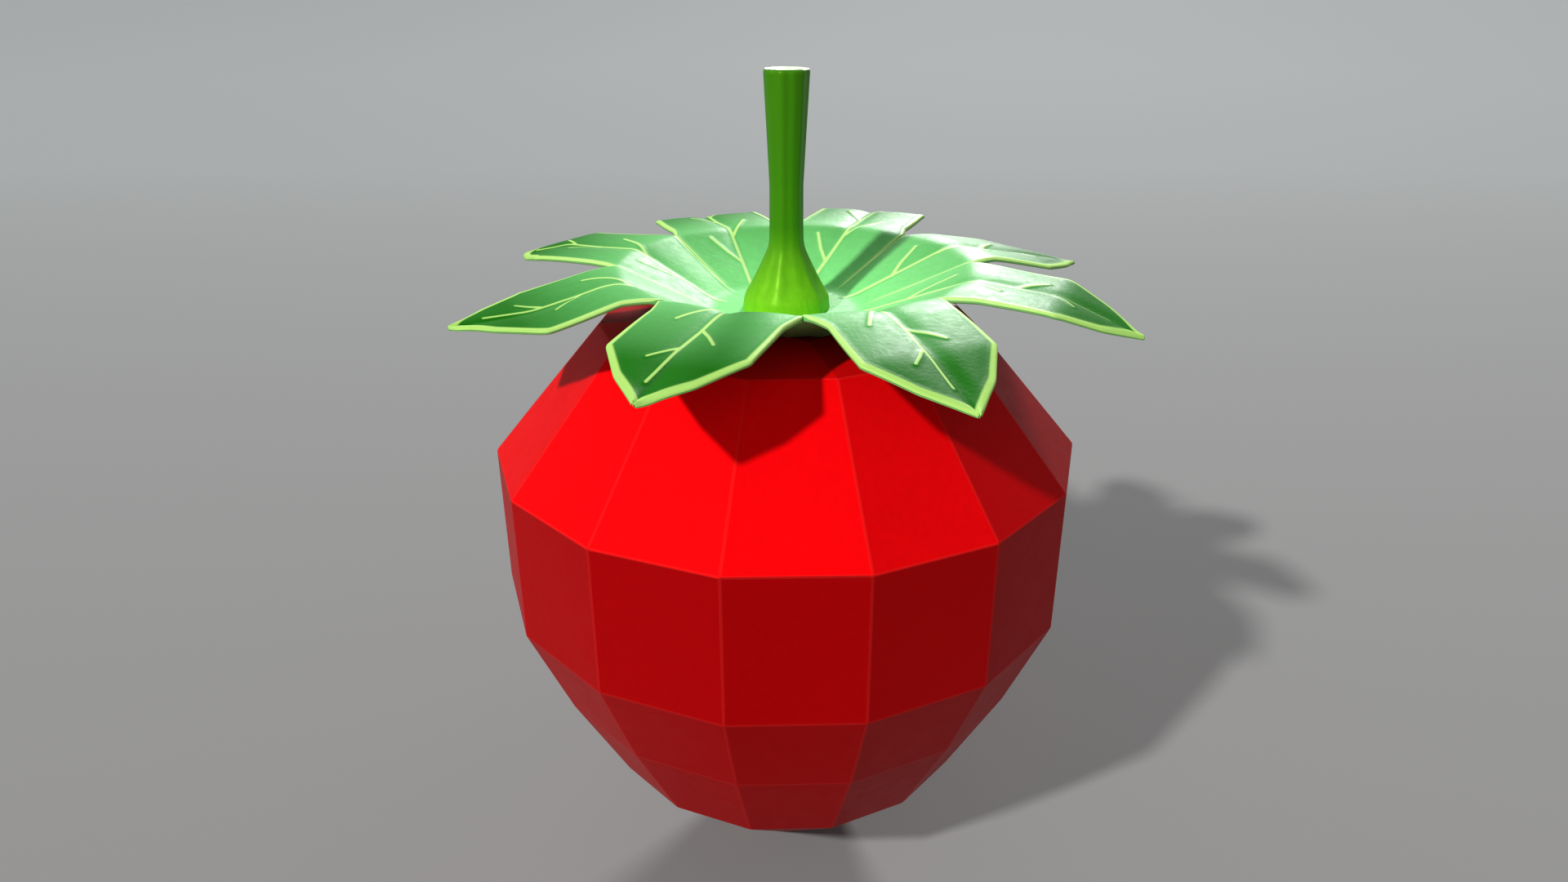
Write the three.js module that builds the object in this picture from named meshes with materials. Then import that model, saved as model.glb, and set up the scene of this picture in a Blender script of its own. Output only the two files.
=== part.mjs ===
// A strawberry as picked: the fruit, its calyx of eight leaves and its cut stem.
// Millimetres, +Z up, front towards -Y. The origin is the centre of the small flat at the fruit's tip.
import * as THREE from "three";

// Fruit: a fifteen-sided body with flat faces, widest at the shoulder.
const FRUIT_SIDES = 15;
const FRUIT_TURN = THREE.MathUtils.degToRad(13.7);
const SHOULDER_RADIUS = 16;
const CROWN_HEIGHT = 33.3;
const REST_RADIUS = 3.2;
// The flat crown reaches this far past the seats of the leaves.
const CROWN_MARGIN = 0.7;
// Its rings from the tip to the crown, as shares of the shoulder radius and of the crown height.
const FRUIT_RINGS = [
  [0.675, 0.218],
  [0.861, 0.388],
  [1, 0.55],
  [1, 0.788],
  [0.625, 0.997],
];

// Stem: round, flared over the middle of the calyx, with heights measured from the crown.
const STEM_SIDES = 16;
const STEM_HEIGHT = 12.6;
const STEM_TOP_RADIUS = 1.2;
const STEM_WAIST_RADIUS = 0.9;
const STEM_WAIST_HEIGHT = 6.9;
const STEM_NECK_RADIUS = 0.95;
const STEM_NECK_HEIGHT = 3.7;
const STEM_FOOT_RADIUS = 2.4;
const STEM_FOOT_HEIGHT = 1;

// Calyx: each leaf lies on the crown at its root, climbs to a crest where it parts from its
// neighbours, stays broad as far as its cheeks and narrows to its tip. Each length runs on from the
// one before, and each rise is the height of the underside above the crown.
const LEAF_TURN = THREE.MathUtils.degToRad(2);
const LEAF_THICKNESS = 0.45;
const LEAF_GAP = 0.2;
const ROOT_GAP = 0.3;
const SEAT_WIDTH = 1.4;
const CLIMB_LENGTH = 5.4;
const CREST_RISE = 2.4;
const CHEEK_LENGTH = 4.5;
const CHEEK_RIGHT_WIDTH = 3.6;
const CHEEK_LEFT_WIDTH = 3.2;
const TIP_HALF_WIDTH = 0.3;
const TIP_SWING = 0.3;
// The whole ring of leaves has grown a little off centre, towards +X.
const CALYX_SHIFT = 0.5;
// Anticlockwise from +X. No two leaves droop alike.
const LEAVES = [
  { name: "leaf_right_back", cheekRise: 1.6, tipLength: 4.3, tipRise: 0.6 },
  { name: "leaf_back_right", cheekRise: 2.5, tipLength: 3.9, tipRise: 0.7 },
  { name: "leaf_back_left", cheekRise: 2.2, tipLength: 4, tipRise: 0.7 },
  { name: "leaf_left_back", cheekRise: 2.2, tipLength: 3.1, tipRise: 1.3 },
  { name: "leaf_left", cheekRise: 1.4, tipLength: 4, tipRise: 1.1 },
  { name: "leaf_front_left", cheekRise: 1.8, tipLength: 3.8, tipRise: 0.9 },
  { name: "leaf_front_right", cheekRise: 1.7, tipLength: 4, tipRise: 0.4 },
  { name: "leaf_right", cheekRise: 2, tipLength: 4, tipRise: 0.4 },
];

const ROOT_RADIUS = STEM_FOOT_RADIUS + ROOT_GAP;
const SEAT_RADIUS = ROOT_RADIUS + SEAT_WIDTH;
const CREST_RADIUS = SEAT_RADIUS + CLIMB_LENGTH;
const CROWN_RADIUS = SEAT_RADIUS + CROWN_MARGIN;
const LEAF_PITCH = (2 * Math.PI) / LEAVES.length;

function material(color, roughness, flatShading) {
  return new THREE.MeshStandardMaterial({ color, roughness, metalness: 0, flatShading });
}

const skinRed = material(0xc4060a, 0.3, true);
const stemGreen = material(0x3f8f12, 0.4, false);
const leafGreen = material(0x4fae45, 0.45, true);

// Turns a profile of [radius, height] points about the Z axis.
function turned(profile, sides, startAngle) {
  const points = profile.map(([radius, height]) => new THREE.Vector2(radius, height));
  return new THREE.LatheGeometry(points, sides, startAngle).rotateX(Math.PI / 2);
}

function named(name, geometry, surface) {
  const mesh = new THREE.Mesh(geometry, surface);
  mesh.name = name;
  return mesh;
}

function makeFruit() {
  const rings = FRUIT_RINGS.map(([across, up]) => [across * SHOULDER_RADIUS, up * CROWN_HEIGHT]);
  const profile = [[0, 0], [REST_RADIUS, 0], ...rings, [CROWN_RADIUS, CROWN_HEIGHT], [0, CROWN_HEIGHT]];
  return named("fruit", turned(profile, FRUIT_SIDES, FRUIT_TURN), skinRed);
}

function makeStem() {
  const profile = [
    [0, 0],
    [STEM_FOOT_RADIUS, 0],
    [STEM_FOOT_RADIUS, STEM_FOOT_HEIGHT],
    [STEM_NECK_RADIUS, STEM_NECK_HEIGHT],
    [STEM_WAIST_RADIUS, STEM_WAIST_HEIGHT],
    [STEM_TOP_RADIUS, STEM_HEIGHT],
    [0, STEM_HEIGHT],
  ];
  const stem = named("stem", turned(profile, STEM_SIDES, 0), stemGreen);
  stem.position.z = CROWN_HEIGHT;
  return stem;
}

// A station where the leaf still touches its neighbours: its edges lie along their common
// boundary, half the gap away from it, on an arc about the calyx.
function joinedStation(radius, rise) {
  const halfPitch = LEAF_PITCH / 2;
  const half = radius * Math.sin(halfPitch) - LEAF_GAP / 2 / Math.cos(halfPitch);
  return { middle: radius, edge: radius * Math.cos(halfPitch), across: [-half, 0, half], rise };
}

// The stations of a leaf from root to tip: distance out at its midrib and at its edges, places of
// its right edge, midrib and left edge across the leaf, seen from the stem, and rise.
function leafStations({ cheekRise, tipLength, tipRise }) {
  const cheek = CREST_RADIUS + CHEEK_LENGTH;
  const tip = cheek + tipLength;
  return [
    joinedStation(ROOT_RADIUS, 0),
    joinedStation(SEAT_RADIUS, 0),
    joinedStation(CREST_RADIUS, CREST_RISE),
    { middle: cheek, edge: cheek, across: [-CHEEK_RIGHT_WIDTH, 0, CHEEK_LEFT_WIDTH], rise: cheekRise },
    { middle: tip, edge: tip, rise: tipRise,
      across: [-TIP_SWING - TIP_HALF_WIDTH, -TIP_SWING, -TIP_SWING + TIP_HALF_WIDTH] },
  ];
}

// Places a point of the calyx given out along and across a leaf that points in a direction.
function calyxPoint(along, across, rise, direction) {
  const x = along * Math.cos(direction) - across * Math.sin(direction);
  const y = along * Math.sin(direction) + across * Math.cos(direction);
  const share = THREE.MathUtils.clamp((along - SEAT_RADIUS) / CLIMB_LENGTH, 0, 1);
  return [x + CALYX_SHIFT * share, y, CROWN_HEIGHT + rise];
}

// A leaf is a panel of even thickness: rows of three points on top, the same rows underneath.
function makeLeaf(leaf, direction) {
  const rows = leafStations(leaf);
  const corners = [];
  for (const layer of [LEAF_THICKNESS, 0]) {
    for (const { middle, edge, across, rise } of rows) {
      [edge, middle, edge].forEach((along, column) => {
        corners.push(...calyxPoint(along, across[column], rise + layer, direction));
      });
    }
  }

  const perRow = 3;
  const layerSize = rows.length * perRow;
  const triangles = [];
  const quad = (a, b, c, d) => triangles.push(a, b, c, a, c, d);
  for (let row = 0; row + 1 < rows.length; row += 1) {
    const start = row * perRow;
    for (let column = 0; column + 1 < perRow; column += 1) {
      const a = start + column;
      quad(a, a + perRow, a + perRow + 1, a + 1);
      quad(a + layerSize, a + 1 + layerSize, a + perRow + 1 + layerSize, a + perRow + layerSize);
    }
    const last = start + perRow - 1;
    quad(start, start + layerSize, start + perRow + layerSize, start + perRow);
    quad(last, last + perRow, last + perRow + layerSize, last + layerSize);
  }
  const tip = layerSize - perRow;
  for (let column = 0; column + 1 < perRow; column += 1) {
    quad(column, column + 1, column + 1 + layerSize, column + layerSize);
    const a = tip + column;
    quad(a, a + layerSize, a + 1 + layerSize, a + 1);
  }

  const geometry = new THREE.BufferGeometry();
  geometry.setAttribute("position", new THREE.Float32BufferAttribute(corners, 3));
  geometry.setIndex(triangles);
  geometry.computeVertexNormals();
  return named(leaf.name, geometry, leafGreen);
}

const strawberry = new THREE.Group();
strawberry.add(makeFruit(), makeStem());
LEAVES.forEach((leaf, index) => {
  strawberry.add(makeLeaf(leaf, (index + 0.5) * LEAF_PITCH + LEAF_TURN));
});

export default strawberry;
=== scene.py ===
"""A strawberry as picked: flat-sided red fruit, a calyx of eight creased leaves and a cut stem.

Lengths in the tables below are millimetres in the object's own frame, as its design gives them.
"""
import math

import bmesh
import bpy
import numpy as np
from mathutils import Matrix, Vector


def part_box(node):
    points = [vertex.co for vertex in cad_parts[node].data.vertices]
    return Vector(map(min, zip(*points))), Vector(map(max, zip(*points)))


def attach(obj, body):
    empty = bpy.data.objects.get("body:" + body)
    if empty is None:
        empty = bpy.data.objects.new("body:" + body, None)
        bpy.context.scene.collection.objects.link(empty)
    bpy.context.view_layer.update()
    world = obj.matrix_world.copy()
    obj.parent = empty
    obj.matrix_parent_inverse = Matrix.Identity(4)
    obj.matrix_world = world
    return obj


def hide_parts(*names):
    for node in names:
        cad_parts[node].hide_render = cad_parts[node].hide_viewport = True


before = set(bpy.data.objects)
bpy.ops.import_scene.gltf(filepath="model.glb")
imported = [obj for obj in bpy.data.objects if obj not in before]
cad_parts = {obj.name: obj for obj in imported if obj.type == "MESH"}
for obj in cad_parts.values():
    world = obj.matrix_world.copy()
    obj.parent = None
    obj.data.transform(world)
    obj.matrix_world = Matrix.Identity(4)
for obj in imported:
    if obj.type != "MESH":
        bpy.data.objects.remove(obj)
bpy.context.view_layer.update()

bl_info = {
    "name": "Strawberry",
    "version": (1, 0, 0),
    "blender": (4, 5, 0),
    "location": "3D View > Sidebar > Strawberry",
    "description": "Makes a faceted strawberry with its calyx, its stem and a plain studio stage",
    "category": "Add Mesh",
}

MM = 0.001
BODY = "root"
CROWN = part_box("fruit")[1].z / MM
STEM_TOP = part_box("stem")[1].z / MM
STEM_FOOT_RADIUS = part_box("stem")[1].x / MM

# The side of the fruit that faces the light, as an angle from +X: its red is painted brightest
# there
# and painted darker away from it as shade. The height of its shoulder as a share of the crown's:
# above it the skin is painted a lighter red, below it a darker one, as light falls from above.
LIT_SIDE = math.radians(-112)
SHOULDER_SHARE = 0.78

# Stem: (height above the crown, radius) down its shaft and its flare, the radius and the depth of
# the rounded rim at its cut end, and the shares of the radius where the cut face has its rings.
STEM_PROFILE = ((9.6, 1.04), (6.9, 0.9), (4.9, 0.91), (4.1, 0.93), (3.7, 1.0), (3.3, 1.16),
                (2.2, 1.7), (1.1, 2.3))
STEM_TOP_RADIUS = 1.2
CUT_RADIUS = 1.14
RIM_DEPTH = 0.12
CUT_SHARES = (0.25, 0.5, 0.7, 0.86, 0.95)
FOOT_SHARES = (0.6, 0.25)
STEM_SIDES = 72
STEM_STEPS = 91
STRAND_RADIUS = 0.72
STRAND_REACH = 0.12

# Calyx, anticlockwise from +X: how far the underside stands above the crown at the cheeks and at
# the tip, and the length from the cheeks to the tip.
LEAVES = {
    "leaf_right_back": (1.6, 0.6, 4.3),
    "leaf_back_right": (2.5, 0.7, 3.9),
    "leaf_back_left": (2.2, 0.7, 4.0),
    "leaf_left_back": (2.2, 1.3, 3.1),
    "leaf_left": (1.4, 1.1, 4.0),
    "leaf_front_left": (1.8, 0.9, 3.8),
    "leaf_front_right": (1.7, 0.4, 4.0),
    "leaf_right": (2.0, 0.4, 4.0),
}
LEAF_PITCH = math.tau / len(LEAVES)
LEAF_TURN = math.radians(2)
LEAF_DEPTH = 0.45
SEAT = STEM_FOOT_RADIUS + 1.7
CREST = SEAT + 5.4
CREST_RISE = 2.4
CHEEK = CREST + 4.5
CALYX_SHIFT = 0.5
LEAF_ROWS = 191
INNER_COLUMNS = 87

# The small shapes of a blade: the arch of each half, the valley over the midrib and the keel under
# it with their half widths, the ripple of the edges, the rounding of a free edge as a share of the
# thickness, and how far the upper face keeps below the thickness of its panel.
ARCH = 0.1
VALLEY = 0.08
VALLEY_WIDTH = 0.5
KEEL = 0.1
KEEL_WIDTH = 0.35
KEEL_FADE = 3
RIPPLE = 0.04
EDGE_ROUNDING = 0.45
CLEARANCE = 0.02
# A blade is mint up to the first distance out and has its full green from the second. The mint is
# partly the blade's own colour and partly a painted highlight.
GREEN_START = 5.0
GREEN_END = 15.0

# How far inside and outside its edge a vein or margin rises, and how wide its colour's edge is.
SLOPE_START = -0.15
SLOPE_END = 0.1
VEIN_SOFTNESS = 0.06
MARGIN_SOFTNESS = 0.14

# A leaf's veins as (distance out, distance across) points: the midrib, then its side veins.
VEINS = (
    ((3.6, 0.25), (6.7, 0.1), (9.3, 0.0), (11.8, -0.1), (13.7, -0.3), (16.3, -0.5)),
    ((6.3, 0.1), (7.2, 0.8), (8.4, 1.5)),
    ((8.7, 0.0), (9.8, -0.8), (11.1, -1.6)),
    ((11.6, -0.1), (12.3, 0.5), (13.1, 1.1)),
    ((13.5, -0.3), (14.1, -0.8), (14.6, -1.3)),
)
VEIN_STEP = 0.25

# The colour mix node keeps a set of sockets for each data type; these are its colour ones.
MIX_FACTOR = 0
MIX_BELOW = 6
MIX_ABOVE = 7
MIX_RESULT = 2

# The lesser colours of each material.
SHEEN_RED = "#FF3028"
PATCH_RED = "#7E0205"
PORE_RED = "#6E0104"
SHEEN_GREEN = "#C8FF60"
FIBRE_GREEN = "#2C6A0A"
STRAND_GREEN = "#A9C98A"
SPOT_CREAM = "#C4D8AC"
TIP_VEIN_GREEN = "#A5D36A"
CELL_GREEN = "#15600A"
SKY_WHITE = "#F4F7FA"

# Each light's azimuth from +X, its elevation and how wide it looks, in degrees.
LIGHTS = (
    ("key", -133, 38, 3),
    ("fill", -92, 26, 40),
    ("back", 78, 23, 9),
)

# The stage, in metres: how far off the lights stand, the floor, where its painted shade turns from
# darker near the front to lighter behind, and the camera with its tilt down and its turn in
# degrees.
LIGHT_DISTANCE = 0.5
FLOOR_FLAT_RADIUS = 0.6
FLOOR_RIM_RADIUS = 2.6
FLOOR_CURVE = 0.11
FLOOR_SIDES = 96
FLOOR_RINGS = 25
SHADE_START = -0.03
SHADE_END = 0.25
CAMERA_PLACE = (0.0, -0.05548, 0.05008)
CAMERA_TILT = 23.61
CAMERA_TURN = 0.11
CAMERA_LENS = 24.44
CAMERA_SENSOR = 36.0


def linear(hex_text):
    """The linear colour of an sRGB hex value, with an alpha of 1."""
    parts = [int(hex_text[i : i + 2], 16) / 255 for i in (1, 3, 5)]
    return (*[p / 12.92 if p <= 0.04045 else ((p + 0.055) / 1.055) ** 2.4 for p in parts], 1.0)


def color_property(name, description, hex_text):
    return bpy.props.FloatVectorProperty(
        name=name, description=description, default=linear(hex_text), subtype="COLOR", size=4,
        min=0, max=1)


def length_property(name, description, millimetres):
    return bpy.props.FloatProperty(
        name=name, description=description, default=millimetres * MM, unit="LENGTH", min=0,
        precision=5)


class FruitSettings(bpy.types.PropertyGroup):
    """Sizes and colours of the fruit."""

    edge_round: length_property("Edge rounding", "Width of the rounding along each edge", 0.08)
    # Painted light: the shoulder red is painted lighter and the belly red darker, as light falls
    # from above.
    lit_shoulder_red: color_property("Shoulder red", "Skin above the widest part", "#FF050A")
    shaded_belly_red: color_property("Belly red", "Skin from the widest part to the tip", "#A40406")
    # Painted shade: this deeper red darkens the skin turned away from the light.
    side_shade_red: color_property("Ripe red", "Deeper red of the skin on the ripest side", "#A80408")
    # Painted highlight: a paler red along the rounded edges stands for the light they catch.
    edge_highlight_red: color_property("Edge red", "Paler skin along the edges", "#D8302C")


class StemSettings(bpy.types.PropertyGroup):
    """Sizes and colours of the stem."""

    furrow_share: bpy.props.FloatProperty(
        name="Furrow depth", description="Depth of the furrows as a share of the stem's radius",
        default=1 / 12, min=0, max=1, subtype="FACTOR")
    cut_dish: length_property("Cut dish", "How far the middle of the cut end has sunk", 0.12)
    skin_green: color_property("Skin green", "Skin of the stem", "#3A7A0A")
    # Painted highlight: the flare is painted a lighter green than the rest of the stem.
    flare_highlight_green: color_property("Foot green", "Skin where the stem flares", "#7CC81C")
    cut_cream: color_property("Cut cream", "Pith at the cut end", "#DCE6D0")


class CalyxSettings(bpy.types.PropertyGroup):
    """Sizes and colours of the calyx leaves."""

    vein_width: length_property("Vein width", "Half the width of a midrib", 0.13)
    vein_tip_width: length_property("Vein tip width", "Half its width at the leaf's tip", 0.1)
    vein_height: length_property("Vein height", "How far the veins stand proud", 0.04)
    margin_height: length_property("Margin height", "How far the margins stand proud", 0.025)
    leaf_green: color_property("Leaf green", "Blade towards the tip", "#17680A")
    # Partly painted highlight: the mint near the stem stands partly for light on the blade.
    root_green_and_highlight: color_property("Root green", "Blade near the stem", "#7FDC80")
    vein_cream: color_property("Vein cream", "Veins and margins", "#C9EE93")
    under_green: color_property("Underside green", "Matt underside of the blade", "#7DBB6A")


class StageSettings(bpy.types.PropertyGroup):
    """Light, floor and camera."""

    floor_grey: color_property("Floor grey", "Plain floor, away from the front", "#8C8E8E")
    # Painted shade: the floor is painted darker towards the front.
    painted_shade_floor: color_property("Near floor grey", "Plain floor at the front", "#7C7B7A")
    key_strength: bpy.props.FloatProperty(
        name="Key light", description="Strength of the main light", default=3.3, min=0)
    fill_strength: bpy.props.FloatProperty(
        name="Fill light", description="Strength of the wide light from the front",
        default=0.35, min=0)
    back_strength: bpy.props.FloatProperty(
        name="Back light", description="Strength of the broad light behind the calyx",
        default=4.0, min=0)
    ambient: bpy.props.FloatProperty(
        name="Ambient", description="Strength of the even light from all sides", default=0.3,
        min=0)


def add_node(tree, kind, links=None, output=0, **settings):
    """Adds a node with its settings, fills its inputs with values or links, and gives an output."""
    node = tree.nodes.new(kind)
    for name, value in settings.items():
        setattr(node, name, value)
    for key, value in (links or {}).items():
        if isinstance(value, bpy.types.NodeSocket):
            tree.links.new(value, node.inputs[key])
        else:
            node.inputs[key].default_value = value
    return node if output is None else node.outputs[output]


def new_material(name, color, **shader):
    """A material whose shader inputs are given by name, with underscores for spaces."""
    material = bpy.data.materials.new(name)
    material.use_nodes = True
    material.diffuse_color = color
    tree = material.node_tree
    surface = tree.nodes["Principled BSDF"]
    for socket, value in shader.items():
        surface.inputs[socket.replace("_", " ")].default_value = value
    return material, tree, surface


def mottle(tree, size_mm, stretch=(1, 1, 1)):
    """A soft pattern of patches about so many millimetres across, fixed to the piece itself."""
    place = add_node(tree, "ShaderNodeTexCoord", output="Object")
    fitted = add_node(tree, "ShaderNodeMapping", {"Vector": place, "Scale": stretch})
    return add_node(tree, "ShaderNodeTexNoise",
                    {"Vector": fitted, "Scale": 1 / (size_mm * MM), "Detail": 2.0})


def finish_surface(tree, surface, color, gloss_pattern, rough_range, relief_pattern, relief_mm):
    """Gives a shader its colour, a roughness that follows one pattern and a relief from another."""
    roughness = add_node(tree, "ShaderNodeMapRange",
                         {"Value": gloss_pattern, "To Min": rough_range[0],
                          "To Max": rough_range[1]})
    normal = add_node(tree, "ShaderNodeBump", {"Height": relief_pattern,
                                               "Distance": relief_mm * MM})
    tree.links.new(color, surface.inputs["Base Color"])
    tree.links.new(roughness, surface.inputs["Roughness"])
    tree.links.new(normal, surface.inputs["Normal"])


def layered(tree, base, layers):
    """Lays colours over a base colour, each by its own factor from 0 to 1 and at most its share."""
    for factor, share, color in layers:
        amount = add_node(tree, "ShaderNodeMapRange", {"Value": factor, "To Max": share})
        base = add_node(tree, "ShaderNodeMix",
                        {MIX_FACTOR: amount, MIX_BELOW: base, MIX_ABOVE: color},
                        output=MIX_RESULT, data_type="RGBA")
    return base


def fruit_skin(settings):
    """The skin of the fruit."""
    # Ripe strawberry skin, grown taut: deep red that is uneven in soft patches, a soft low gloss
    # broken up by pores, a painted highlight along the edges, and painted light and shade: lighter
    # red on the shoulders and on the side towards the light, darker below and away from it. Pores
    # are drawn at 0.45 mm, coarser than real ones, so that they show.
    material, tree, surface = new_material(
        "ripe strawberry skin", settings.lit_shoulder_red, IOR=1.4, Specular_IOR_Level=0.08,
        Specular_Tint=linear(SHEEN_RED))
    marks = {name: add_node(tree, "ShaderNodeAttribute", output="Fac", attribute_name=name)
             for name in ("ripeness", "belly", "edge")}
    pores = mottle(tree, 0.45)
    color = layered(tree, settings.lit_shoulder_red, (
        # Painted shade away from the lit side.
        (marks["ripeness"], 1.0, settings.side_shade_red),
        # Painted shade below the shoulder.
        (marks["belly"], 1.0, settings.shaded_belly_red),
        (mottle(tree, 5), 0.22, linear(PATCH_RED)),
        (pores, 0.16, linear(PORE_RED)),
        # Painted highlight along the rounded edges.
        (marks["edge"], 0.16, settings.edge_highlight_red),
    ))
    finish_surface(tree, surface, color, mottle(tree, 1.2), (0.38, 0.5), pores, 0.01)
    return material


def stem_skin(settings):
    """The skin of the stem."""
    # Fresh stem skin, grown in long fibres: bright green with a satin gloss streaked lengthwise,
    # and a lighter green painted on the flare as a highlight. Fibres are drawn 0.3 mm wide, coarser
    # than real ones, so that they show.
    material, tree, surface = new_material(
        "fresh stem skin", settings.skin_green, IOR=1.45, Specular_Tint=linear(SHEEN_GREEN))
    foot = add_node(tree, "ShaderNodeAttribute", output="Fac", attribute_name="foot")
    fibres = mottle(tree, 0.3, stretch=(1, 1, 0.06))
    color = layered(tree, settings.skin_green, (
        # Painted highlight on the flare.
        (foot, 1.0, settings.flare_highlight_green),
        (fibres, 0.45, linear(FIBRE_GREEN)),
    ))
    finish_surface(tree, surface, color, fibres, (0.34, 0.52), fibres, 0.015)
    return material


def cut_pith(settings):
    """The cut end of the stem."""
    # Cut stem pith, sliced: pale, wet and slightly sunk, with a ring of greener strands in it.
    # Its cells are drawn at 0.25 mm, coarser than real ones, so that they show.
    material, tree, surface = new_material("cut stem pith", settings.cut_cream, IOR=1.36)
    strands = add_node(tree, "ShaderNodeAttribute", output="Fac", attribute_name="strand")
    spots = mottle(tree, 0.25)
    color = layered(tree, settings.cut_cream, (
        (strands, 1.0, linear(STRAND_GREEN)),
        (spots, 0.3, linear(SPOT_CREAM)),
    ))
    finish_surface(tree, surface, color, spots, (0.36, 0.46), mottle(tree, 0.15), 0.02)
    return material


def leaf_blade(settings):
    """The blade of a calyx leaf."""
    # Calyx leaf, grown: a blade of very low gloss, mint near the stem and deep green at the tip,
    # where the mint is partly its own colour and partly a painted highlight, with pale veins and
    # margins on its upper face and a paler underside. Half a millimetre is about the size of the
    # fields between its finest veins.
    material, tree, surface = new_material(
        "calyx leaf", settings.leaf_green, IOR=1.45, Specular_IOR_Level=0.05)
    marks = {name: add_node(tree, "ShaderNodeAttribute", output="Fac", attribute_name=name)
             for name in ("depth", "underside", "vein_room", "margin_room")}
    lines = [add_node(tree, "ShaderNodeMapRange",
                      {"Value": marks[name], "From Max": softness * MM},
                      interpolation_type="SMOOTHSTEP")
             for name, softness in (("vein_room", VEIN_SOFTNESS),
                                    ("margin_room", MARGIN_SOFTNESS))]
    line = add_node(tree, "ShaderNodeMath", {0: lines[0], 1: lines[1]}, operation="MAXIMUM")
    cells = mottle(tree, 0.5)
    pale = layered(tree, settings.vein_cream, ((marks["depth"], 1.0, linear(TIP_VEIN_GREEN)),))
    color = layered(tree, settings.root_green_and_highlight, (
        # Mint at the root, partly a painted highlight, turning to full green.
        (marks["depth"], 1.0, settings.leaf_green),
        (cells, 0.22, linear(CELL_GREEN)),
        (line, 1.0, pale),
        (marks["underside"], 1.0, settings.under_green),
    ))
    finish_surface(tree, surface, color, cells, (0.4, 0.56), mottle(tree, 0.22), 0.012)
    return material


def new_object(name, mesh):
    made = bpy.data.objects.new(name, mesh)
    bpy.context.scene.collection.objects.link(made)
    return made


def place_piece(piece, node):
    """Puts a finished piece in the place of its CAD node."""
    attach(piece, BODY)
    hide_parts(node)


def applied(piece):
    """The piece with its modifiers made part of its mesh."""
    graph = bpy.context.evaluated_depsgraph_get()
    mesh = bpy.data.meshes.new_from_object(piece.evaluated_get(graph))
    old = piece.data
    piece.modifiers.clear()
    piece.data = mesh
    bpy.data.meshes.remove(old)
    return piece


def mark(mesh, name, values, domain="POINT"):
    """Gives each point or face of a mesh a number that its material or its nodes read."""
    mesh.attributes.new(name, "FLOAT", domain).data.foreach_set("value", values)


class STRAWBERRY_OT_fruit(bpy.types.Operator):
    """Make the flat-sided fruit with its edges rounded"""

    bl_idname = "strawberry.make_fruit"
    bl_label = "Make the fruit"

    def execute(self, context):
        settings = context.scene.strawberry_fruit
        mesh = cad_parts["fruit"].data.copy()
        mesh.materials.clear()
        work = bmesh.new()
        work.from_mesh(mesh)
        bmesh.ops.remove_doubles(work, verts=work.verts, dist=0.01 * MM)
        bmesh.ops.dissolve_limit(work, angle_limit=math.radians(1), verts=work.verts,
                                 edges=work.edges)
        bmesh.ops.recalc_face_normals(work, faces=work.faces)
        belly = work.faces.layers.float.new("belly")
        ripeness = work.faces.layers.float.new("ripeness")
        shoulder = CROWN * MM * SHOULDER_SHARE
        for face in work.faces:
            middle = face.calc_center_median()
            turn = math.atan2(middle.y, middle.x) - LIT_SIDE
            # Painted shade: faces below the shoulder are marked to take the darker belly red.
            face[belly] = float(middle.z < shoulder)
            # Painted shade: faces turned further from the lit side take more of the deeper red.
            face[ripeness] = min(1 - math.cos(turn), 1.0)
            face.smooth = False
        work.to_mesh(mesh)
        work.free()
        fruit = new_object("strawberry_fruit", mesh)
        # The rounding takes the second slot, so its faces can be told apart from the flat ones.
        # Once they are marked as edges, which take a painted highlight in a paler red, one slot is
        # enough.
        skin = fruit_skin(settings)
        mesh.materials.append(skin)
        mesh.materials.append(skin)
        bevel = fruit.modifiers.new("Rounded edges", "BEVEL")
        bevel.width = settings.edge_round
        bevel.segments = 3
        bevel.limit_method = "ANGLE"
        bevel.angle_limit = math.radians(3)
        bevel.harden_normals = True
        bevel.material = 1
        mesh = applied(fruit).data
        slots = [face.material_index for face in mesh.polygons]
        mark(mesh, "edge", slots, "FACE")
        mesh.materials.pop(index=1)
        for face in mesh.polygons:
            face.material_index = 0
        place_piece(fruit, "fruit")
        return {"FINISHED"}


def stem_outline():
    """Heights and radii down the outside of the stem, from the cut end to the foot, in mm."""
    length = STEM_TOP - CROWN
    points = ((length, CUT_RADIUS), (length - RIM_DEPTH, STEM_TOP_RADIUS), *STEM_PROFILE,
              (0.0, STEM_FOOT_RADIUS))
    heights, radii = zip(*reversed(points))
    steps = np.linspace(length, 0, STEM_STEPS)
    return steps, np.interp(steps, heights, radii)


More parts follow.
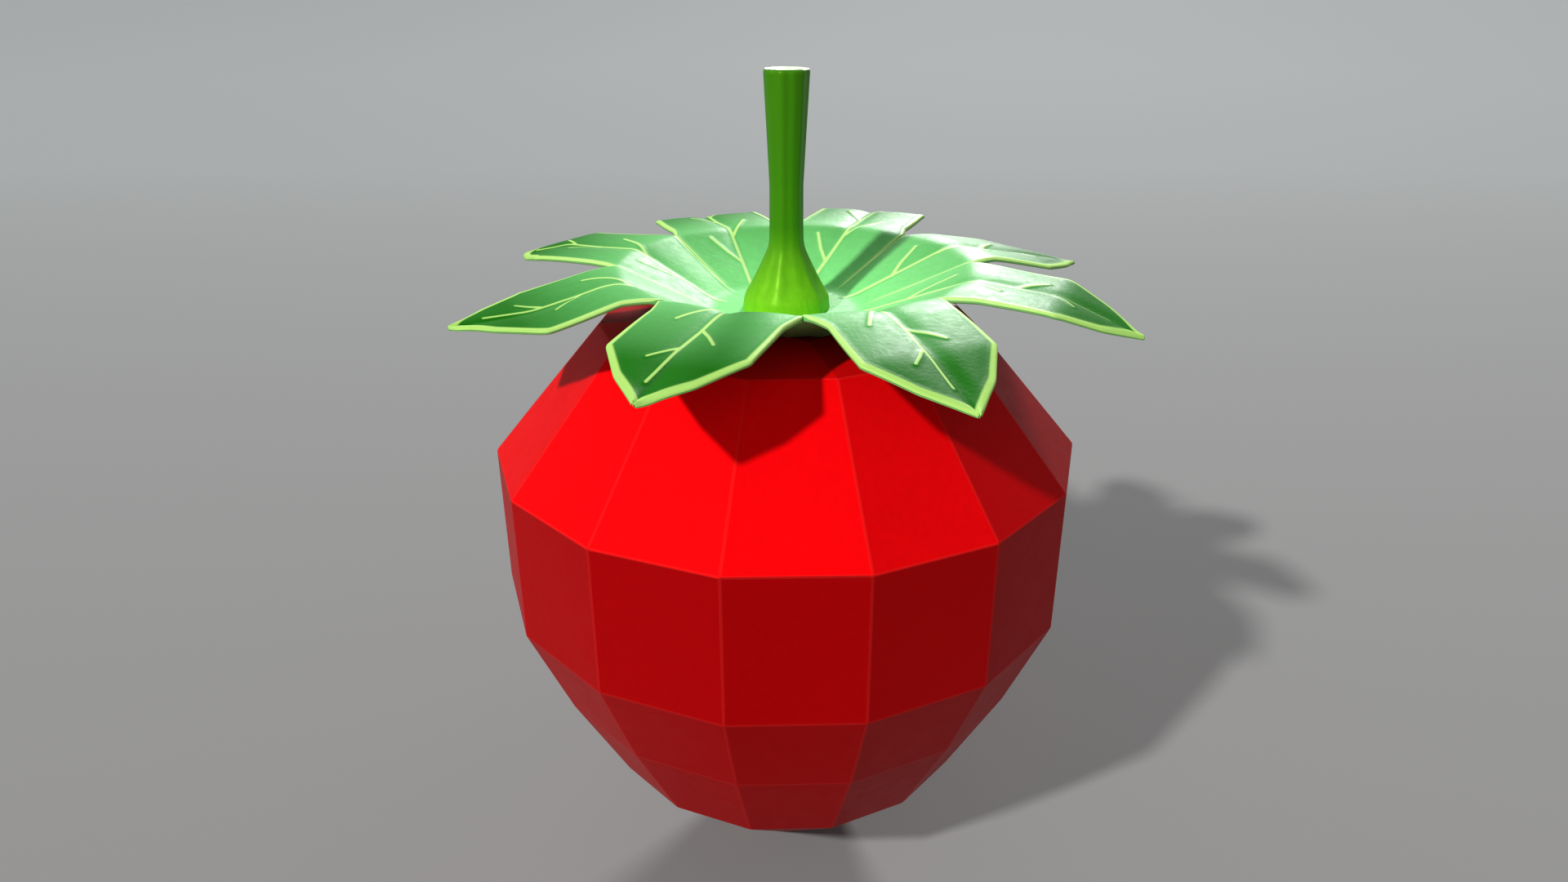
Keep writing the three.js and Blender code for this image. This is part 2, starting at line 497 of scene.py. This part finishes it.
class STRAWBERRY_OT_stem(bpy.types.Operator):
    """Make the stem with its flare, its furrows and its pale cut end"""

    bl_idname = "strawberry.make_stem"
    bl_label = "Make the stem"

    def execute(self, context):
        settings = context.scene.strawberry_stem
        angles = np.linspace(0, math.tau, STEM_SIDES, endpoint=False)
        heights, radii = stem_outline()
        dish = settings.cut_dish / MM
        rings = [(heights[0] - dish * (1 - share**4), share * radii[0]) for share in CUT_SHARES]
        rings += list(zip(heights, radii))
        rings += [(0.0, share * STEM_FOOT_RADIUS) for share in FOOT_SHARES]
        # Two uneven waves of furrows about the stem, which fade out at the crown.
        furrows = 0.6 * np.cos(7 * angles) + 0.4 * np.cos(11 * angles + 1)
        verts = [(0.0, 0.0, (CROWN + heights[0] - dish) * MM)]
        for z, radius in rings:
            wide = radius * (1 + settings.furrow_share / 2 * (furrows - 1) * min(z / 2, 1))
            for angle, r in zip(angles, wide):
                verts.append((r * math.cos(angle) * MM, r * math.sin(angle) * MM,
                              (CROWN + z) * MM))
        verts.append((0.0, 0.0, CROWN * MM))
        faces = []
        last = 1 + (len(rings) - 1) * STEM_SIDES
        for i in range(STEM_SIDES):
            j = (i + 1) % STEM_SIDES
            faces.append((0, 1 + i, 1 + j))
            for a in range(1, last, STEM_SIDES):
                faces.append((a + i, a + STEM_SIDES + i, a + STEM_SIDES + j, a + j))
            faces.append((last + i, len(verts) - 1, last + j))
        mesh = bpy.data.meshes.new("stem")
        mesh.from_pydata(verts, [], faces)
        mesh.materials.append(stem_skin(settings))
        mesh.materials.append(cut_pith(settings))
        places = np.array(verts) / MM - (0, 0, CROWN)
        reach = np.hypot(places[:, 0], places[:, 1])
        # Painted highlight: lighter green towards the foot, where the flare catches the light.
        mark(mesh, "foot", np.clip(1.15 - places[:, 2] / 4.2, 0, 1))
        mark(mesh, "strand", np.clip(1 - np.abs(reach - STRAND_RADIUS) / STRAND_REACH, 0, 1))
        cut_ends = 1 + len(CUT_SHARES) * STEM_SIDES
        for face in mesh.polygons:
            face.use_smooth = True
            face.material_index = int(min(face.vertices) < cut_ends)
        stem = new_object("strawberry_stem", mesh)
        place_piece(stem, "stem")
        return {"FINISHED"}


def eased(xs, ys, at, ease):
    """Straight runs through the points, with each corner eased over a short length."""
    return np.mean([np.interp(at + shift, xs, ys) for shift in np.linspace(-ease, ease, 7)], axis=0)


class Leaf:
    """The plan and the bends of one calyx leaf, in mm, out along its midrib and across it."""

    def __init__(self, index, cheek_rise, tip_rise, tip_length):
        self.direction = (index + 0.5) * LEAF_PITCH + LEAF_TURN
        self.phase = index * 2.4
        half = LEAF_PITCH / 2
        joined = [STEM_FOOT_RADIUS - 0.15, SEAT, CREST]
        self.tip = CHEEK + tip_length
        self.middles = np.array([*joined, CREST + 0.9, CHEEK, CHEEK + 0.55 * tip_length, self.tip])
        self.edges = np.array([*[r * math.cos(half) for r in joined], *self.middles[3:]])
        widths = [r * math.sin(half) for r in joined]
        self.right = np.array([*widths, 3.3, 3.6, 2.1, 0.36])
        self.left = np.array([*widths, 3.3, 3.2, 1.65, -0.24])
        self.rises = np.array([0, 0, CREST_RISE, CREST_RISE - 0.05, cheek_rise,
                               0.45 * cheek_rise + 0.55 * tip_rise, tip_rise])
        self.depths = np.array([LEAF_DEPTH, LEAF_DEPTH, 0.3, 0.26, 0.2, 0.17, 0.14])

    def grid(self):
        """Rows from root to tip and columns from the right edge to the left edge."""
        steps = np.linspace(self.middles[0], self.tip, LEAF_ROWS)
        inner = np.linspace(-0.96, 0.96, INNER_COLUMNS)
        sides = np.array([-1, -0.992, -0.98, *inner, 0.98, 0.992, 1])
        return np.meshgrid(steps, sides, indexing="ij")

    def plan(self, out, side):
        """Distances out and across at a place on the grid."""
        middle = eased(self.middles, self.middles, out, 0.02)
        edge = eased(self.middles, self.edges, out, 0.05)
        right = eased(self.middles, self.right, out, 0.12)
        left = eased(self.middles, self.left, out, 0.12)
        along = middle + (edge - middle) * np.abs(side)
        return along, ((1 + side) * left - (1 - side) * right) / 2

    def top(self, out, side, across):
        """Height of the upper face above the crown."""
        rise = eased(self.middles, self.rises, out, 0.4)
        free = np.clip((out - SEAT) / (CREST - SEAT), 0, 1)
        arch = ARCH * free * (1 - (2 * np.abs(side) - 1) ** 2)
        valley = VALLEY * free * np.exp(-((across / VALLEY_WIDTH) ** 2))
        ripple = RIPPLE * free * side**2 * np.sin(0.9 * out + self.phase + 2 * side)
        return rise + LEAF_DEPTH + arch - valley + ripple - CLEARANCE

    def depth(self, out, across):
        """Thickness, with a keel under the midrib."""
        keel = KEEL * np.exp(-((across / KEEL_WIDTH) ** 2))
        fade = np.clip((self.tip - out) / KEEL_FADE, 0, 1)
        return np.interp(out, self.middles, self.depths) + keel * fade * (out > SEAT)

    def world(self, along, across, height):
        """A place in the object's frame, in metres."""
        cos, sin = math.cos(self.direction), math.sin(self.direction)
        shift = CALYX_SHIFT * np.clip((along - SEAT) / (CREST - SEAT), 0, 1)
        x = along * cos - across * sin + shift
        y = along * sin + across * cos
        return np.stack([x, y, CROWN + height], axis=-1) * MM


def distance_to_outline(points, outline):
    """The distance from each plan point to the nearest stretch of an outline."""
    start, end = outline[:-1], outline[1:]
    run = end - start
    share = ((points[:, None] - start) * run).sum(-1) / np.maximum((run**2).sum(-1), 1e-12)
    nearest = start + np.clip(share, 0, 1)[..., None] * run
    return np.linalg.norm(points[:, None] - nearest, axis=-1).min(axis=1)


def rounding(distance, radius):
    """How far a face drops near a rounded edge."""
    inside = np.clip(1 - distance / radius, 0, 1)
    return radius * (1 - np.sqrt(1 - inside**2))


def leaf_panel(name, leaf):
    """The blade before its veins: a closed panel whose free edges are rounded."""
    out, side = leaf.grid()
    along, across = leaf.plan(out, side)
    plan = np.stack([along, across], axis=-1)
    outline = np.concatenate([plan[:, 0], plan[-1, 1:-1], plan[::-1, -1]])
    edge = distance_to_outline(plan.reshape(-1, 2), outline).reshape(out.shape)
    free = np.clip((along - CREST * math.cos(LEAF_PITCH / 2) + 0.2) / 0.6, 0, 1)
    upper = leaf.top(out, side, across)
    depth = leaf.depth(out, across)
    lower = upper - depth
    drop = rounding(edge, EDGE_ROUNDING * depth) * free
    rows, columns = out.shape
    size = rows * columns
    numbers = np.arange(size).reshape(rows, columns)
    a, b, c, d = numbers[:-1, :-1], numbers[1:, :-1], numbers[1:, 1:], numbers[:-1, 1:]
    faces = np.stack([a, b, c, d], -1).reshape(-1, 4).tolist()
    faces += (np.stack([a, d, c, b], -1) + size).reshape(-1, 4).tolist()
    rim = np.concatenate([numbers[:, 0], numbers[-1, 1:], numbers[-2::-1, -1],
                          numbers[0, -2::-1]])
    faces += np.stack([rim[:-1], rim[:-1] + size, rim[1:] + size, rim[1:]], -1).tolist()
    places = np.concatenate([leaf.world(along, across, upper - drop).reshape(-1, 3),
                             leaf.world(along, across, lower + drop).reshape(-1, 3)])
    mesh = bpy.data.meshes.new(name)
    mesh.from_pydata(places.tolist(), [], faces)
    mesh.polygons.foreach_set("use_smooth", [True] * len(mesh.polygons))
    width = np.interp(out, [SEAT - 0.3, SEAT + 0.8, CREST, CREST + 1.2, CHEEK, leaf.tip],
                      [0.0, 0.15, 0.2, 0.28, 0.36, 0.42])
    # Both faces get the same values, but a whole unit less underneath keeps the margins off it.
    underside = np.repeat([0.0, 1.0], size)
    mark(mesh, "margin_room", np.tile((width - edge).ravel(), 2) * MM - underside)
    # The blade turns from mint, partly a painted highlight, to full green with distance out.
    greenness = np.clip((along - GREEN_START) / (GREEN_END - GREEN_START), 0, 1)
    mark(mesh, "depth", np.tile(greenness.ravel(), 2))
    mark(mesh, "underside", underside)
    return new_object(name, mesh), places[:size]


def vein_paths(leaf, upper_face):
    """The veins as edges that lie on a leaf's upper face."""
    plane = upper_face[:, :2]
    places, edges = [], []
    for points in VEINS:
        points = np.array(points)
        run = np.concatenate([[0], np.cumsum(np.linalg.norm(np.diff(points, axis=0), axis=1))])
        steps = np.linspace(0, run[-1], int(run[-1] / VEIN_STEP) + 2)
        along, across = (np.interp(steps, run, points[:, i]) for i in (0, 1))
        route = leaf.world(along, across, 0 * along)
        for place in route:
            near = np.argmin(((plane - place[:2]) ** 2).sum(1))
            place[2] = upper_face[near, 2]
        edges += [(len(places) + i, len(places) + i + 1) for i in range(len(route) - 1)]
        places += route.tolist()
    mesh = bpy.data.meshes.new("vein_paths")
    mesh.from_pydata(places, edges, [])
    return new_object("vein_paths", mesh)


def vein_tree():
    """Geometry nodes that raise a leaf's veins and margins and note the room inside its veins."""
    tree = bpy.data.node_groups.new("Leaf veins", "GeometryNodeTree")
    sockets = (("Leaf", "Geometry"), ("Vein Paths", "Object"), ("Vein Width", "Float"),
               ("Vein Tip Width", "Float"), ("Vein Height", "Float"), ("Margin Height", "Float"),
               ("Slope Start", "Float"), ("Slope End", "Float"), ("Material", "Material"))
    for name, kind in sockets:
        tree.interface.new_socket(name, in_out="INPUT", socket_type="NodeSocket" + kind)
    tree.interface.new_socket("Leaf", in_out="OUTPUT", socket_type="NodeSocketGeometry")
    given = add_node(tree, "NodeGroupInput", output=None).outputs
    marks = {name: add_node(tree, "GeometryNodeInputNamedAttribute", {"Name": name},
                            data_type="FLOAT")
             for name in ("depth", "underside", "margin_room")}

    paths = add_node(tree, "GeometryNodeObjectInfo", {"Object": given["Vein Paths"]},
                     output="Geometry")
    distance = add_node(tree, "GeometryNodeProximity", {0: paths}, output="Distance",
                        target_element="EDGES")
    width = add_node(tree, "ShaderNodeMapRange",
                     {"Value": marks["depth"], "To Min": given["Vein Width"],
                      "To Max": given["Vein Tip Width"]})
    inside = add_node(tree, "ShaderNodeMath", {0: width, 1: distance}, operation="SUBTRACT")
    vein_room = add_node(tree, "ShaderNodeMath", {0: inside, 1: marks["underside"]},
                         operation="SUBTRACT")
    marked = add_node(tree, "GeometryNodeStoreNamedAttribute",
                      {"Geometry": given["Leaf"], "Name": "vein_room", "Value": vein_room},
                      data_type="FLOAT", domain="POINT")

    lifts = [add_node(tree, "ShaderNodeMapRange",
                      {"Value": room, "From Min": given["Slope Start"],
                       "From Max": given["Slope End"], "To Max": given[height]},
                      interpolation_type="SMOOTHSTEP")
             for room, height in ((vein_room, "Vein Height"),
                                  (marks["margin_room"], "Margin Height"))]
    lift = add_node(tree, "ShaderNodeMath", {0: lifts[0], 1: lifts[1]}, operation="MAXIMUM")
    offset = add_node(tree, "ShaderNodeCombineXYZ", {"Z": lift})
    raised = add_node(tree, "GeometryNodeSetPosition", {"Geometry": marked, "Offset": offset})
    whole = add_node(tree, "GeometryNodeRealizeInstances", {"Geometry": raised})
    finished = add_node(tree, "GeometryNodeSetMaterial",
                        {"Geometry": whole, "Material": given["Material"]})
    add_node(tree, "NodeGroupOutput", {"Leaf": finished}, output=None)
    return tree


def set_inputs(modifier, values):
    """Sets a node modifier's inputs, given by the names on its tree."""
    for item in modifier.node_group.interface.items_tree:
        if item.in_out == "INPUT" and item.name in values:
            modifier[item.identifier] = values[item.name]


class STRAWBERRY_OT_calyx(bpy.types.Operator):
    """Make the eight calyx leaves with their bends, veins and margins"""

    bl_idname = "strawberry.make_calyx"
    bl_label = "Make the calyx"

    def execute(self, context):
        settings = context.scene.strawberry_calyx
        material = leaf_blade(settings)
        tree = vein_tree()
        for index, (name, sizes) in enumerate(LEAVES.items()):
            leaf = Leaf(index, *sizes)
            piece, upper_face = leaf_panel("strawberry_" + name, leaf)
            paths = vein_paths(leaf, upper_face)
            veins = piece.modifiers.new("Veins", "NODES")
            veins.node_group = tree
            set_inputs(veins, {
                "Vein Paths": paths,
                "Vein Width": settings.vein_width,
                "Vein Tip Width": settings.vein_tip_width,
                "Vein Height": settings.vein_height,
                "Margin Height": settings.margin_height,
                "Slope Start": SLOPE_START * MM,
                "Slope End": SLOPE_END * MM,
                "Material": material,
            })
            applied(piece)
            bpy.data.objects.remove(paths)
            place_piece(piece, name)
        return {"FINISHED"}


def polar(azimuth, elevation, distance):
    """A place seen from the middle of the object, with azimuth from +X and angles in degrees."""
    turn, tilt = math.radians(azimuth), math.radians(elevation)
    return Vector((math.cos(turn) * math.cos(tilt), math.sin(turn) * math.cos(tilt),
                   math.sin(tilt))) * distance


def add_light(name, azimuth, elevation, spread, strength):
    """A far light that shines on the crown of the fruit and looks so many degrees wide."""
    light = bpy.data.lights.new(name, "SUN")
    light.energy = strength
    light.angle = math.radians(spread)
    lamp = new_object(name + "_light", light)
    towards = polar(azimuth, elevation, LIGHT_DISTANCE)
    lamp.location = towards + Vector((0, 0, CROWN * MM))
    lamp.rotation_euler = towards.to_track_quat("Z", "Y").to_euler()


def floor_bowl():
    """A floor that is flat in the middle and curves up gently to a low rim."""
    radii = [FLOOR_FLAT_RADIUS,
             *np.linspace(FLOOR_FLAT_RADIUS, FLOOR_RIM_RADIUS, FLOOR_RINGS)[1:]]
    angles = np.linspace(0, math.tau, FLOOR_SIDES, endpoint=False)
    verts = [(0.0, 0.0, 0.0)]
    for radius in radii:
        rise = FLOOR_CURVE * (radius - FLOOR_FLAT_RADIUS) ** 2
        verts += [(radius * math.cos(a), radius * math.sin(a), rise) for a in angles]
    faces = []
    last = 1 + (len(radii) - 1) * FLOOR_SIDES
    for i in range(FLOOR_SIDES):
        j = (i + 1) % FLOOR_SIDES
        faces.append((0, 1 + i, 1 + j))
        for a in range(1, last, FLOOR_SIDES):
            faces.append((a + i, a + FLOOR_SIDES + i, a + FLOOR_SIDES + j, a + j))
    mesh = bpy.data.meshes.new("floor")
    mesh.from_pydata(verts, [], faces)
    mesh.polygons.foreach_set("use_smooth", [True] * len(mesh.polygons))
    return mesh


class STRAWBERRY_OT_stage(bpy.types.Operator):
    """Make the plain floor, the studio lights and the camera"""

    bl_idname = "strawberry.make_stage"
    bl_label = "Make the stage"

    def execute(self, context):
        settings = context.scene.strawberry_stage
        scene = context.scene
        scene.view_settings.view_transform = "Standard"

        mesh = floor_bowl()
        material, tree, surface = new_material("plain floor", settings.floor_grey, Roughness=1.0,
                                               Specular_IOR_Level=0.05)
        # Painted shade: the floor's grey darkens towards the front.
        place = add_node(tree, "ShaderNodeTexCoord", output="Object")
        backwards = add_node(tree, "ShaderNodeSeparateXYZ", {0: place}, output="Y")
        distance = add_node(tree, "ShaderNodeMapRange",
                            {"Value": backwards, "From Min": SHADE_START,
                             "From Max": SHADE_END})
        shade = layered(tree, settings.painted_shade_floor, ((distance, 1.0, settings.floor_grey),))
        tree.links.new(shade, surface.inputs["Base Color"])
        mesh.materials.append(material)
        new_object("floor", mesh)

        world = bpy.data.worlds.new("studio")
        world.use_nodes = True
        background = world.node_tree.nodes["Background"]
        background.inputs["Color"].default_value = linear(SKY_WHITE)
        background.inputs["Strength"].default_value = settings.ambient
        scene.world = world

        for name, azimuth, elevation, spread in LIGHTS:
            add_light(name, azimuth, elevation, spread, getattr(settings, name + "_strength"))

        lens = bpy.data.cameras.new("camera")
        lens.sensor_width = CAMERA_SENSOR
        lens.lens = CAMERA_LENS
        lens.clip_start = 0.005
        camera = new_object("camera", lens)
        camera.location = CAMERA_PLACE
        camera.rotation_euler = (math.radians(90 - CAMERA_TILT), 0, math.radians(CAMERA_TURN))
        scene.camera = camera
        return {"FINISHED"}


class STRAWBERRY_PT_panel(bpy.types.Panel):
    """Lists the makers of the strawberry's pieces"""

    bl_idname = "STRAWBERRY_PT_panel"
    bl_label = "Strawberry"
    bl_space_type = "VIEW_3D"
    bl_region_type = "UI"
    bl_category = "Strawberry"

    def draw(self, context):
        for name, operator in MAKERS:
            box = self.layout.box()
            settings = getattr(context.scene, "strawberry_" + name)
            for key in settings.__annotations__:
                box.prop(settings, key)
            box.operator(operator.bl_idname)


MAKERS = (
    ("fruit", STRAWBERRY_OT_fruit),
    ("stem", STRAWBERRY_OT_stem),
    ("calyx", STRAWBERRY_OT_calyx),
    ("stage", STRAWBERRY_OT_stage),
)
SETTINGS = {
    "fruit": FruitSettings,
    "stem": StemSettings,
    "calyx": CalyxSettings,
    "stage": StageSettings,
}
CLASSES = (*SETTINGS.values(), *[operator for _, operator in MAKERS], STRAWBERRY_PT_panel)


def register():
    for cls in CLASSES:
        bpy.utils.register_class(cls)
    for name, group in SETTINGS.items():
        setattr(bpy.types.Scene, "strawberry_" + name, bpy.props.PointerProperty(type=group))


def unregister():
    for name in SETTINGS:
        delattr(bpy.types.Scene, "strawberry_" + name)
    for cls in reversed(CLASSES):
        bpy.utils.unregister_class(cls)


def main():
    register()
    bpy.ops.strawberry.make_fruit()
    bpy.ops.strawberry.make_stem()
    bpy.ops.strawberry.make_calyx()
    bpy.ops.strawberry.make_stage()


if __name__ == "__main__":
    main()
